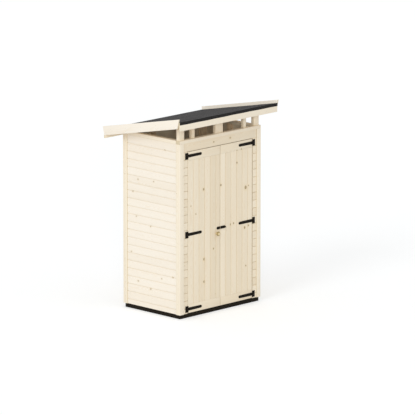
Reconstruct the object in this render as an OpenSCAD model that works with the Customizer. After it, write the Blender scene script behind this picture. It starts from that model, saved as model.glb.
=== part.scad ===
// Small timber tool shed with a mono-pitch felt roof, double doors and an open vent gap under the roof.
// The origin is on the ground at the middle of the base. X runs along the doors, Y to the back, Z up.

/* [Overall] */
// Width over the corner trims
body_w = 1250; // [1000:10:1800]
// Depth over the corner trims
body_d = 870; // [700:10:1300]
// Height of the top of the corner trims above the ground
wall_top = 1930; // [1900:1:2150]

/* [Base and floor] */
// Height of the base rails
base_h = 46; // [30:1:90]
// How far the base stands in from the faces of the corner trims
base_inset = 15; // [5:1:17]
// Width of each base rail
base_rail_w = 45; // [35:1:70]
// Thickness of the floor
floor_t = 15; // [10:1:22]
// Setback of the floor's front edge behind the wall frame
floor_setback = 5; // [5:1:20]

/* [Walls] */
// Thickness of the cladding boards
board_t = 12; // [9:0.5:17]
// Thickness of the corner trims, measured from the wall frame
trim_t = 18; // [18:0.5:24]
// Width of each face of a corner trim
trim_w = 62; // [50:1:75]
// Width of a corner post
post_w = 79; // [60:1:85]
// Depth of the corner posts and studs
post_d = 42; // [34:1:50]
// Width of a wall stud
stud_w = 45; // [30:1:60]
// Distance from the middle of the back wall to each back stud
back_stud_x = 200; // [120:10:300]
// Height of the beam over the doors
head_beam_h = 90; // [60:1:95]

/* [Vent gap] */
// Height of the rail that caps the walls
rail_h = 36; // [25:1:50]
// Width of the rail that caps the walls
rail_w = 60; // [60:1:80]
// Setback of the vent posts behind the front of the trims
vent_inset_front = 22; // [10:1:25]
// Setback of the corner vent posts from the sides of the trims
vent_inset_side = 10; // [5:1:25]
// Depth of the vent posts
vent_post_d = 40; // [30:1:40]
// Width of the two corner vent posts
vent_corner_w = 78; // [50:1:100]
// Width of the middle vent post
vent_centre_w = 113; // [60:1:150]
// Width of the two small vent posts
vent_small_w = 42; // [25:1:60]
// Distance from the middle to each small vent post
vent_small_x = 397; // [250:5:430]

/* [Roof] */
// How deep the rafters are let down over the cap rail of the back wall
rafter_notch = 11; // [5:1:20]
// Fall of the roof towards the back, for each metre of depth
roof_fall = 205; // [120:5:230]
// Overhang in front of the corner trims
overhang_front = 129; // [60:1:200]
// Overhang beside the corner trims
overhang_side = 146; // [60:1:200]
// Overhang behind the corner trims
overhang_back = 165; // [60:1:200]
// Thickness of the roofing felt
felt_t = 3; // [1:0.5:5]
// Height of the felt turned down over the fascias
felt_lip = 36; // [15:1:50]
// Thickness of the roof boards
deck_t = 15; // [9:1:20]
// Depth of the rafters
rafter_h = 34; // [30:1:45]
// Width of the rafters
rafter_w = 45; // [30:1:60]
// Height of the beam that carries the front of the rafters
beam_h = 45; // [35:1:60]
// How deep the front beam is let into the rafters
beam_notch = 14; // [10:1:25]
// Height of the fascias
fascia_h = 97; // [70:1:130]
// Thickness of the fascias
fascia_t = 15; // [12:1:22]
// Height of the barge boards
barge_h = 102; // [80:1:140]
// Thickness of the barge boards
barge_t = 18; // [12:1:25]
// How far the barge boards stand above the felt
barge_rise = 33; // [10:1:45]
// How far the lower corners of the barge boards are cut back
barge_rake = 25; // [0:1:40]

/* [Doors] */
// Width of the doorway
opening_w = 1007; // [860:1:1100]
// Height of a door leaf
leaf_h = 1779; // [1500:1:1785]
// Thickness of a door leaf
leaf_t = 12; // [9:0.5:12]
// Running gap round the door leaves
door_gap = 5; // [4:0.5:8]
// Gap between the base and the bottom of the leaves
threshold_gap = 6; // [5:0.5:12]
// Height of the top and bottom boards of a leaf
leaf_rail_h = 95; // [70:1:120]
// Height of the ledges behind a leaf
ledge_h = 120; // [100:1:140]
// Thickness of the ledges behind a leaf
ledge_t = 20; // [12:1:25]
// How far the ledges stop short of the edges of a leaf
ledge_inset = 20; // [15:1:40]
// Height of the lowest ledge above the floor
ledge_floor_gap = 8; // [5:1:20]
// Distance of the highest ledge below the top of a leaf
ledge_top_gap = 6; // [0:1:30]
// Height of the middle ledge, hinge and bolt above the ground
middle_z = 921; // [700:1:1150]

/* [Hinges] */
// Radius of the hinge knuckles
knuckle_r = 5; // [4:0.5:6]
// Radius of the hinge pins
pin_r = 2.2; // [1.5:0.1:3]
// Running clearance between pin and knuckle
pin_clear = 0.1; // [0.05:0.01:0.2]
// Gap between the knuckles on the leaf and on the wall
knuckle_gap = 0.5; // [0.3:0.1:1]
// Height of the knuckle on the leaf
knuckle_h = 24; // [16:1:30]
// Distance of the upper and lower hinges from the ends of a leaf
hinge_end = 44; // [40:1:70]
// Thickness of the metal of the hinges, bolt plate and keeper
strap_t = 2.5; // [2:0.1:4]
// Length of the straps from the hinge pin
strap_l = 215; // [120:1:300]
// Width of a strap at its root
strap_w = 34; // [26:1:40]
// Width of a strap at its tip
strap_tip_w = 31; // [18:1:36]
// Width of a hinge plate on the wall
plate_w = 32; // [20:1:45]
// Height of a hinge plate on the wall
plate_h = 70; // [60:1:90]

/* [Bolt and knob] */
// Radius of the bolt
bolt_r = 5; // [4:0.5:7]
// Running clearance round the bolt
bolt_clear = 0.5; // [0.3:0.1:1]
// Travel of the bolt
bolt_travel = 35; // [26:1:38]
// How far the bolt's tip stands inside the leaf when it is drawn back
bolt_setback = 3; // [2:0.5:6]
// How far the shot bolt reaches past the keeper's guide
bolt_past = 5.5; // [3:0.5:6]
// Gap between the bolt's bore and its plate
bolt_standoff = 1; // [0.5:0.5:2]
// Radius of the bolt's finger
finger_r = 4; // [3:0.5:4.5]
// Length of the bolt's finger
finger_l = 20; // [14:1:26]
// Length of the bolt's plate
bolt_plate_l = 74; // [68:1:110]
// Length of the keeper's plate
keeper_plate_l = 52; // [45:1:90]
// Height of the bolt's and keeper's plates
bolt_plate_h = 30; // [22:1:40]
// Setback of the plates from the inner edges of the leaves
plate_setback = 1.5; // [1:0.5:3]
// Width of each guide that the bolt runs in
guide_w = 8; // [6:1:10]
// Thickness of a guide round the bolt's bore
guide_wall = 2; // [1.5:0.5:3]
// Distance of the guides from the ends of the bolt's plate
guide_end = 4; // [2:1:6]
// Radius of the wooden knob
knob_r = 25; // [18:1:32]
// How far the knob stands out from the leaf
knob_l = 42; // [30:1:55]
// Distance of the knob from the inner edge of the leaf
knob_edge = 54; // [35:1:120]
// Distance of the knob below the bolt
knob_drop = 57; // [45:1:120]
// Thickness of the knob's foot
knob_foot_t = 4; // [2:1:8]

/* [Hidden] */
$fn = 48;

half_w = body_w / 2;
half_d = body_d / 2;
// planes of the wall frame, the face of the boards and the base
frame_x = half_w - trim_t;
frame_y = half_d - trim_t;
board_x = frame_x + board_t;
board_y = frame_y + board_t;
base_x = half_w - base_inset;
base_y = half_d - base_inset;
floor_top = base_h + floor_t;
rail_top = wall_top + rail_h;

// hair-line gap under the felt, so that rounded coordinates never overlap on the slope
felt_gap = 0.02;

// roof planes
front_y = -half_d - overhang_front;
back_y = half_d + overhang_back;
barge_x = half_w + overhang_side - barge_t;
deck_front_y = front_y + felt_t + fascia_t;
deck_back_y = back_y - felt_t - fascia_t;
roof_front_h = round(rail_top - rafter_notch + rafter_h + deck_t + felt_t
                     + roof_fall / 1000 * (half_d - front_y));
function roof_z(y) = roof_front_h - roof_fall / 1000 * (y - front_y);
function rafter_under_z(y) = roof_z(y) - felt_t - deck_t - rafter_h;
beam_y = -half_d + vent_inset_front;
beam_top = round(rafter_under_z(beam_y + vent_post_d) + beam_notch);
beam_x = half_w - vent_inset_side;

// doors
leaf_w = (opening_w - 3 * door_gap) / 2;
leaf_bottom = base_h + threshold_gap;
leaf_top = leaf_bottom + leaf_h;
header_bottom = leaf_top + door_gap;
leaf_inner_x = door_gap / 2;
leaf_outer_x = leaf_inner_x + leaf_w;
hinge_x = opening_w / 2 - door_gap / 2;
hinge_y = -board_y - knuckle_r;
hinge_zs = [leaf_bottom + hinge_end, middle_z, leaf_top - hinge_end];
ledge_zs = [floor_top + ledge_floor_gap, middle_z - ledge_h / 2, leaf_top - ledge_h - ledge_top_gap];

// bolt
guide_r = bolt_r + bolt_clear;
bolt_y = -board_y - strap_t - bolt_standoff - guide_r;
plate_start_x = leaf_inner_x + plate_setback;
near_guide_x = plate_start_x + guide_end;
far_guide_x = plate_start_x + bolt_plate_l - guide_end - guide_w;
finger_x = far_guide_x - finger_r - bolt_standoff;
bolt_rest_x = leaf_inner_x + bolt_setback;
keeper_guide_x = bolt_rest_x - bolt_travel + bolt_past;

// radii of the knob's neck and foot, and the flatness of its head, as shares of its radius
knob_neck = 0.44;
knob_foot = 0.6;
knob_flat = 0.62;

// how far a cutter or a joined shape reaches past a face
lap = 1;

pine = [0.88, 0.80, 0.67];
rough_pine = [0.62, 0.50, 0.36];
black = [0.09, 0.09, 0.09];

// block between two opposite corners
module block(low, high) {
    translate(low) cube(high - low);
}

// outline in the YZ plane drawn from x0 to x1
module across(x0, x1, outline) {
    translate([x0, 0, 0]) rotate([90, 0, 90]) linear_extrude(x1 - x0) polygon(outline);
}

// slab that follows the roof slope, a stated drop below the roof surface
module roof_slab(x0, x1, y0, y1, drop, thick) {
    across(x0, x1, [
        [y0, roof_z(y0) - drop - thick], [y1, roof_z(y1) - drop - thick],
        [y1, roof_z(y1) - drop], [y0, roof_z(y0) - drop]
    ]);
}

// the same piece on the other side of the doors
module mirrored(side) {
    if (side > 0) children();
    else mirror([1, 0, 0]) children();
}

// ---- base ----
module base_rail_front() {
    color(black) block([-base_x, -base_y, 0], [base_x, -base_y + base_rail_w, base_h]);
}

module base_rail_back() {
    color(black) block([-base_x, base_y - base_rail_w, 0], [base_x, base_y, base_h]);
}

module base_rail_side(side) {
    color(black) mirrored(side)
        block([base_x - base_rail_w, -base_y + base_rail_w, 0], [base_x, base_y - base_rail_w, base_h]);
}

module base_joist() {
    color(black) block([-base_rail_w / 2, -base_y + base_rail_w, 0],
                       [base_rail_w / 2, base_y - base_rail_w, base_h]);
}

module floor_slab() {
    color(rough_pine) difference() {
        block([-frame_x, -frame_y + floor_setback, base_h], [frame_x, frame_y, floor_top]);
        for (sx = [-1, 1], sy = [-1, 1])
            post_column(sx, sy, base_h - lap, floor_top + lap);
    }
}

// ---- wall frame ----
module post_column(sx, sy, z0, z1) {
    x_mid = sx * (frame_x - post_w / 2);
    y_mid = sy * (frame_y - post_d / 2);
    block([x_mid - post_w / 2, y_mid - post_d / 2, z0], [x_mid + post_w / 2, y_mid + post_d / 2, z1]);
}

module corner_posts() {
    color(rough_pine) for (sx = [-1, 1], sy = [-1, 1]) post_column(sx, sy, base_h, wall_top);
}

module wall_studs() {
    color(rough_pine) {
        for (side = [-1, 1]) mirrored(side)
            block([frame_x - post_d, -stud_w / 2, floor_top], [frame_x, stud_w / 2, wall_top]);
        for (side = [-1, 1]) mirrored(side)
            block([back_stud_x - stud_w / 2, frame_y - post_d, floor_top],
                  [back_stud_x + stud_w / 2, frame_y, wall_top]);
    }
}

module door_head_beam() {
    color(rough_pine) block([post_w - frame_x, -frame_y, wall_top - head_beam_h],
                            [frame_x - post_w, -frame_y + post_d, wall_top]);
}

// ---- cladding ----
module side_wall(side) {
    color(pine) mirrored(side)
        block([frame_x, trim_w - half_d, base_h], [board_x, half_d - trim_w, wall_top]);
}

module back_wall() {
    color(pine) block([trim_w - half_w, frame_y, base_h], [half_w - trim_w, board_y, wall_top]);
}

module front_boards(side) {
    color(pine) mirrored(side)
        block([opening_w / 2, -board_y, base_h], [half_w - trim_w, -frame_y, header_bottom]);
}

module front_header() {
    color(pine) block([trim_w - half_w, -board_y, header_bottom], [half_w - trim_w, -frame_y, wall_top]);
}

module corner_trim(side, end) {
    color(pine) mirrored(side) mirror([0, end > 0 ? 0 : 1, 0]) difference() {
        block([half_w - trim_w, half_d - trim_w, base_h], [half_w, half_d, wall_top]);
        block([half_w - trim_w - lap, half_d - trim_w - lap, base_h - lap],
              [frame_x, frame_y, wall_top + lap]);
    }
}

// ---- cap rails and vent posts ----
module top_rail_end(end) {
    color(pine) mirror([0, end > 0 ? 0 : 1, 0])
        block([-half_w, half_d - rail_w, wall_top], [half_w, half_d, rail_top]);
}

module top_rail_side(side) {
    color(pine) mirrored(side)
        block([half_w - rail_w, rail_w - half_d, wall_top], [half_w, half_d - rail_w, rail_top]);
}

module vent_post(x_mid, w) {
    block([x_mid - w / 2, beam_y, rail_top], [x_mid + w / 2, beam_y + vent_post_d, beam_top - beam_h]);
}

module vent_posts() {
    color(rough_pine) {
        vent_post(0, vent_centre_w);
        for (side = [-1, 1]) {
            vent_post(side * vent_small_x, vent_small_w);
            vent_post(side * (beam_x - vent_corner_w / 2), vent_corner_w);
        }
    }
}

// ---- roof ----
module beam_block() {
    block([-beam_x, beam_y, beam_top - beam_h], [beam_x, beam_y + vent_post_d, beam_top]);
}

module roof_beam() {
    color(rough_pine) beam_block();
}

module rafters() {
    color(rough_pine) for (x_mid = [-frame_x + rafter_w / 2, 0, frame_x - rafter_w / 2]) difference() {
        roof_slab(x_mid - rafter_w / 2, x_mid + rafter_w / 2, deck_front_y, deck_back_y,
                  felt_t + deck_t, rafter_h);
        beam_block();
        block([-half_w, half_d - rail_w, wall_top], [half_w, half_d, rail_top]);
    }
}

module roof_deck() {
    color(rough_pine) roof_slab(-barge_x, barge_x, deck_front_y, deck_back_y,
                                felt_t + felt_gap, deck_t - felt_gap);
}

module roof_felt() {
    color([0.33, 0.32, 0.31]) across(-barge_x, barge_x, [
        [front_y, roof_z(front_y)], [front_y, roof_z(front_y) - felt_lip],
        [front_y + felt_t, roof_z(front_y) - felt_lip], [front_y + felt_t, roof_z(front_y + felt_t) - felt_t],
        [back_y - felt_t, roof_z(back_y - felt_t) - felt_t], [back_y - felt_t, roof_z(back_y) - felt_lip],
        [back_y, roof_z(back_y) - felt_lip], [back_y, roof_z(back_y)]
    ]);
}

module barge(side) {
    top_drop = -barge_rise;
    low_drop = barge_h - barge_rise;
    color(pine) mirrored(side) across(barge_x, barge_x + barge_t, [
        [front_y + barge_rake, roof_z(front_y + barge_rake) - low_drop],
        [back_y - barge_rake, roof_z(back_y - barge_rake) - low_drop],
        [back_y, roof_z(back_y) - top_drop],
        [front_y, roof_z(front_y) - top_drop]
    ]);
}

module fascia(y_out, y_in) {
    z_low = roof_z(y_out) - felt_t - fascia_h;
    top_drop = felt_t + felt_gap;
    color(pine) across(-barge_x, barge_x, [
        [y_out, z_low], [y_in, z_low], [y_in, roof_z(y_in) - top_drop], [y_out, roof_z(y_out) - top_drop]
    ]);
}

// ---- door leaves ----
module leaf_block(side, x0, x1, y0, y1, z0, z1) {
    mirrored(side) block([x0, y0, z0], [x1, y1, z1]);
}

module leaf_boards(side) {
    color(pine) leaf_block(side, leaf_inner_x, leaf_outer_x, -board_y, leaf_t - board_y,
                           leaf_bottom + leaf_rail_h, leaf_top - leaf_rail_h);
}

module leaf_rails(side) {
    color(pine) {
        leaf_block(side, leaf_inner_x, leaf_outer_x, -board_y, leaf_t - board_y,
                   leaf_bottom, leaf_bottom + leaf_rail_h);
        leaf_block(side, leaf_inner_x, leaf_outer_x, -board_y, leaf_t - board_y,
                   leaf_top - leaf_rail_h, leaf_top);
    }
}

module leaf_ledges(side) {
    color(rough_pine) for (z = ledge_zs)
        leaf_block(side, leaf_inner_x + ledge_inset, leaf_outer_x - ledge_inset,
                   leaf_t - board_y, leaf_t - board_y + ledge_t, z, z + ledge_h);
}

// ---- T-hinges ----
module hinge_cylinder(r, z0, z1) {
    translate([hinge_x, hinge_y, z0]) cylinder(r = r, h = z1 - z0);
}

// flat metal on the face of the wall, between two x values
module face_metal(x0, x1, z0, z1) {
    block([x0, -board_y - strap_t, z0], [x1, -board_y, z1]);
}

module hinge_plate(z) {
    inner = knuckle_h / 2 + knuckle_gap;
    clear_x = hinge_x + knuckle_r + knuckle_gap;
    face_metal(clear_x, clear_x + plate_w, z - plate_h / 2, z + plate_h / 2);
    for (end = [-1, 1]) {
        z0 = end > 0 ? z + inner : z - plate_h / 2;
        z1 = end > 0 ? z + plate_h / 2 : z - inner;
        hinge_cylinder(knuckle_r, z0, z1);
        face_metal(hinge_x, clear_x, z0, z1);
    }
    hinge_cylinder(pin_r, z - plate_h / 2, z + plate_h / 2);
}

module hinge_plates() {
    color(black) for (side = [-1, 1], z = hinge_zs) mirrored(side) hinge_plate(z);
}

module hinge_strap(z) {
    root_x = hinge_x - knuckle_r - knuckle_gap;
    tip_x = hinge_x - strap_l + strap_tip_w / 2;
    difference() {
        union() {
            hinge_cylinder(knuckle_r, z - knuckle_h / 2, z + knuckle_h / 2);
            face_metal(root_x - lap, hinge_x, z - knuckle_h / 2, z + knuckle_h / 2);
            translate([0, -board_y, z]) rotate([90, 0, 0]) linear_extrude(strap_t) union() {
                polygon([[root_x, -strap_w / 2], [root_x, strap_w / 2],
                         [tip_x, strap_tip_w / 2], [tip_x, -strap_tip_w / 2]]);
                translate([tip_x, 0]) circle(r = strap_tip_w / 2);
            }
        }
        hinge_cylinder(pin_r + pin_clear, z - knuckle_h, z + knuckle_h);
    }
}

module leaf_straps(side) {
    color(black) mirrored(side) for (z = hinge_zs) hinge_strap(z);
}

// ---- bolt ----
module bolt_rod(r, x0, x1) {
    translate([x0, bolt_y, middle_z]) rotate([0, 90, 0]) cylinder(r = r, h = x1 - x0);
}

// guide block on a plate, bored for the bolt
module guide(x0) {
    difference() {
        block([x0, bolt_y - guide_r - guide_wall, middle_z - guide_r - guide_wall],
              [x0 + guide_w, -board_y - strap_t, middle_z + guide_r + guide_wall]);
        bolt_rod(guide_r, x0 - lap, x0 + guide_w + lap);
    }
}

// plate with one rounded end, on the face of a leaf
module end_plate(x_square, x_round) {
    r = bolt_plate_h / 2;
    x_mid = x_round > x_square ? x_round - r : x_round + r;
    translate([0, -board_y, middle_z]) rotate([90, 0, 0]) linear_extrude(strap_t) union() {
        polygon([[x_square, -r], [x_square, r], [x_mid, r], [x_mid, -r]]);
        translate([x_mid, 0]) circle(r = r);
    }
}

module bolt_plate() {
    color(black) union() {
        end_plate(plate_start_x, plate_start_x + bolt_plate_l);
        guide(near_guide_x);
        guide(far_guide_x);
    }
}

module bolt_keeper() {
    color(black) union() {
        end_plate(-plate_start_x, -plate_start_x - keeper_plate_l);
        guide(keeper_guide_x);
    }
}

module bolt() {
    color(black) union() {
        bolt_rod(bolt_r, bolt_rest_x, far_guide_x + guide_w);
        translate([finger_x, bolt_y, middle_z]) rotate([90, 0, 0]) cylinder(r = finger_r, h = finger_l);
    }
}

// ---- turned wooden knob ----
module door_knob() {
    translate([-leaf_inner_x - knob_edge, -board_y, middle_z - knob_drop]) rotate([90, 0, 0])
        color(pine) rotate_extrude() {
            square([knob_foot * knob_r, knob_foot_t]);
            square([knob_neck * knob_r, knob_l / 2]);
            intersection() {
                translate([0, knob_l - knob_r * knob_flat]) scale([1, knob_flat]) circle(r = knob_r);
                square([knob_r, knob_l]);
            }
        }
}

base_rail_front();
base_rail_back();
base_rail_side(-1);  // base_rail_left
base_rail_side(1);  // base_rail_right
base_joist();
floor_slab();  // floor
corner_posts();
wall_studs();
side_wall(-1);  // left_wall
side_wall(1);  // right_wall
back_wall();
front_boards(-1);  // front_boards_left
front_boards(1);  // front_boards_right
front_header();
door_head_beam();
corner_trim(-1, -1);  // corner_trim_front_left
corner_trim(1, -1);  // corner_trim_front_right
corner_trim(-1, 1);  // corner_trim_back_left
corner_trim(1, 1);  // corner_trim_back_right
top_rail_end(-1);  // top_rail_front
top_rail_end(1);  // top_rail_back
top_rail_side(-1);  // top_rail_left
top_rail_side(1);  // top_rail_right
vent_posts();
roof_beam();
rafters();
roof_deck();
roof_felt();
barge(-1);  // barge_left
barge(1);  // barge_right
fascia(front_y + felt_t, deck_front_y);  // fascia_front
fascia(back_y - felt_t, deck_back_y);  // fascia_back
hinge_plates();
leaf_boards(-1);  // door_left_boards
leaf_rails(-1);  // door_left_rails
leaf_ledges(-1);  // door_left_ledges
leaf_straps(-1);  // door_left_straps
bolt_keeper();
door_knob();
leaf_boards(1);  // door_right_boards
leaf_rails(1);  // door_right_rails
leaf_ledges(1);  // door_right_ledges
leaf_straps(1);  // door_right_straps
bolt_plate();
bolt();
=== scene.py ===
import math
import random

import bmesh
import bpy
from mathutils import Matrix, Vector


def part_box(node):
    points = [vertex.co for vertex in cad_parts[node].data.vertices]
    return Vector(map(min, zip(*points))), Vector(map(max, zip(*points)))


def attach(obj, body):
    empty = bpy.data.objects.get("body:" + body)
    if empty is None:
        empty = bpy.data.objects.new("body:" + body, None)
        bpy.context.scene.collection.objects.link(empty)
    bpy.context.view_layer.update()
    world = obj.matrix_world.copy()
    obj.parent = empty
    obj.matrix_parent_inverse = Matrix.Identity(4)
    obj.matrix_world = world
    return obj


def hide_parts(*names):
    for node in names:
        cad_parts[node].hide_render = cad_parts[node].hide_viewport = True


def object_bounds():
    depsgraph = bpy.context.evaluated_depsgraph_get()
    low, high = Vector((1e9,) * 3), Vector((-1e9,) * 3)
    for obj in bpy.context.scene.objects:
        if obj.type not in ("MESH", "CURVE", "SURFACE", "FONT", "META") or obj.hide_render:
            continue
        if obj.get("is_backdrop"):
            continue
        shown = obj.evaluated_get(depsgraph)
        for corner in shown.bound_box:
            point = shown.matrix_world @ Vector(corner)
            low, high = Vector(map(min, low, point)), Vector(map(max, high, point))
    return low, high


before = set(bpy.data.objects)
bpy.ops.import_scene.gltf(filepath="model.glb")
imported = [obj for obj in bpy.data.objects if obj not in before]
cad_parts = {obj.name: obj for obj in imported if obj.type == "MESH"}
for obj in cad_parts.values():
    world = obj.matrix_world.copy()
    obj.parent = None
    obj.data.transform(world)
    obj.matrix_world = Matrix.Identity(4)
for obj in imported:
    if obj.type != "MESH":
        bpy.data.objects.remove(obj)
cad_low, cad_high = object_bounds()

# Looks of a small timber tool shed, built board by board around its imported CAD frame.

rng = random.Random(11)
X, Y, Z = (Vector(v) for v in ((1, 0, 0), (0, 1, 0), (0, 0, 1)))
AXES = (X, Y, Z)
COVER = 0.08665            # cover width of a cladding board
FIRST_COURSE = 0.102       # top of the cut board at the foot of the walls
GROOVE, TONGUE = (0.42, 0.72), (0.45, 0.69)     # where they lie, as shares of a board's thickness
GROOVE_DEPTH, TONGUE_REACH = 0.006, 0.005       # measured from the seam between two boards
END_GRAIN = 0.7            # shade of a sawn end
JOINT = 0.28               # painted shade of the tongue in an open joint
V_FACE = 0.6               # share of it on the V's slopes
EDGE = 0.9                 # painted shade of a trim's edge beside the boards
POST_W, POST_D = 0.079, 0.042   # corner posts. The studs are as deep
STUD_W, STUD_X = 0.045, 0.2     # studs, and where the back ones stand either side of the middle
TRIM_T, TRIM_GAP = 0.018, 0.0003    # a corner trim's boards, and the gap between its two
TRIM_NAILS, TRIM_END = 6, 0.1   # nails down each of them, and how far from its ends
PLAIN_GAP = 0.0002         # gap beside a board's edge that has neither tongue nor groove
RAIL_H = 0.095             # top and bottom board of a leaf
LEDGE_H, LEDGE_Z = 0.12, 0.861  # ledges behind a leaf, and the foot of the middle one
VENT_POSTS = ((-0.576, 0.078), (-0.397, 0.042), (0, 0.113), (0.397, 0.042), (0.576, 0.078))  # middle, width
FLOOR_ROWS, DECK_ROWS = 9, 12   # boards of the floor and of the roof
SLOPE = 0.205              # fall of the roof from front to back
PIN_X = 0.501              # hinge pins, either side of the middle
HINGES = (0.096, 0.921, 1.787)  # heights of the hinges
IRON_T = 0.0025            # thickness of the flat ironwork


# ---------------------------------------------------------------- node graphs
class Graph:
    """A material's nodes. Values that vary are linked, and plain numbers are set on the socket."""

    def __init__(self, name):
        self.mat = bpy.data.materials.new(name)
        self.mat.use_nodes = True
        self.tree = self.mat.node_tree
        self.tree.nodes.clear()
        self.out = self.tree.nodes.new("ShaderNodeOutputMaterial")
        self.bsdf = self.tree.nodes.new("ShaderNodeBsdfPrincipled")
        self.tree.links.new(self.bsdf.outputs[0], self.out.inputs[0])

    def put(self, socket, value):
        if isinstance(value, bpy.types.NodeSocket):
            self.tree.links.new(value, socket)
        elif socket.type == "RGBA" and len(value) == 3:
            socket.default_value = (*value, 1)
        else:
            socket.default_value = value

    def shader(self, **values):
        for key, value in values.items():
            self.put(self.bsdf.inputs[key.replace("_", " ")], value)

    def math(self, op, *values):
        n = self.tree.nodes.new("ShaderNodeMath")
        n.operation = op
        for s, v in zip(n.inputs, values):
            self.put(s, v)
        return n.outputs[0]

    def vec(self, op, *values, out=0):
        n = self.tree.nodes.new("ShaderNodeVectorMath")
        n.operation = op
        for s, v in zip(n.inputs, values):
            self.put(s, v)
        return n.outputs[out]

    def parts(self, vector):
        n = self.tree.nodes.new("ShaderNodeSeparateXYZ")
        self.put(n.inputs[0], vector)
        return n.outputs

    def join(self, x, y, z):
        n = self.tree.nodes.new("ShaderNodeCombineXYZ")
        for s, v in zip(n.inputs, (x, y, z)):
            self.put(s, v)
        return n.outputs[0]

    def attribute(self, name, out):
        n = self.tree.nodes.new("ShaderNodeAttribute")
        n.attribute_name = name
        return n.outputs[out]

    def place(self):
        return self.tree.nodes.new("ShaderNodeTexCoord").outputs["Object"]

    def noise(self, vector, scale=1.0, detail=2.0, rough=0.5, out=0):
        n = self.tree.nodes.new("ShaderNodeTexNoise")
        self.put(n.inputs["Vector"], vector)
        n.inputs["Scale"].default_value = scale
        n.inputs["Detail"].default_value = detail
        n.inputs["Roughness"].default_value = rough
        return n.outputs[out]

    def remap(self, value, a, b, c=0.0, d=1.0, smooth=False):
        n = self.tree.nodes.new("ShaderNodeMapRange")
        n.interpolation_type = "SMOOTHSTEP" if smooth else "LINEAR"
        for s, v in zip(n.inputs, (value, a, b, c, d)):
            self.put(s, v)
        return n.outputs[0]

    def mix(self, factor, a, b, blend="MIX"):
        n = self.tree.nodes.new("ShaderNodeMix")
        n.data_type = "RGBA"
        n.blend_type = blend
        self.put(n.inputs[0], factor)
        self.put(n.inputs[6], a)
        self.put(n.inputs[7], b)
        return n.outputs[2]

    def ramp(self, factor, *stops):
        n = self.tree.nodes.new("ShaderNodeValToRGB")
        self.put(n.inputs[0], factor)
        e = n.color_ramp.elements
        while len(e) < len(stops):
            e.new(0.5)
        for item, (at, level) in zip(e, stops):
            item.position = at
            item.color = (level, level, level, 1)
        return n.outputs[0]

    def bump(self, height, strength, distance):
        n = self.tree.nodes.new("ShaderNodeBump")
        n.inputs["Strength"].default_value = strength
        n.inputs["Distance"].default_value = distance
        self.put(n.inputs["Height"], height)
        return n.outputs[0]


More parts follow.
